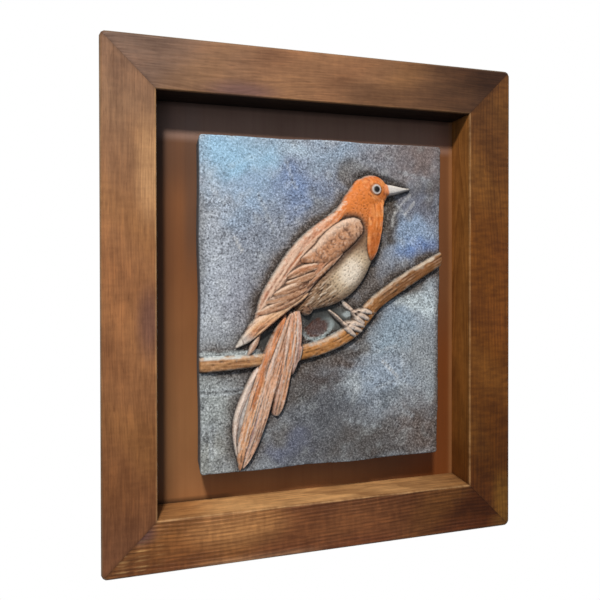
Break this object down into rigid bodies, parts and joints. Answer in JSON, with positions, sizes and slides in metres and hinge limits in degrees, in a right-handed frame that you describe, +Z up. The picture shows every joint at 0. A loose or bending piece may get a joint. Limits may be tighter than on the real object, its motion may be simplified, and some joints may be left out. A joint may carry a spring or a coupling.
{
  "type": "decorative wall panel",
  "caption": "Wall panel with a painted relief of a songbird on a branch, cast on a thick slab and set on a board inside a mitred frame of stained wood.",
  "frame": {"origin": "middle of the backing board's back face, flush with the backs of the rails, where the panel lies against the wall", "axes": "+X to the viewer's right, +Y from the picture side into the wall, +Z up"},
  "size_m": [0.3146, 0.0472, 0.37],
  "materials": {
    "stained_wood": "planed softwood, stained red-brown and waxed",
    "stained_board": "smooth stained board",
    "painted_cast": "unglazed cast, painted by hand and rubbed back, matt"
  },
  "bodies": {
    "root": {"rail_top": "stained_wood", "rail_left": "stained_wood", "rail_bottom": "stained_wood", "rail_right": "stained_wood", "backing_board": "stained_board", "relief_tile": "painted_cast"}
  },
  "joints": []
}
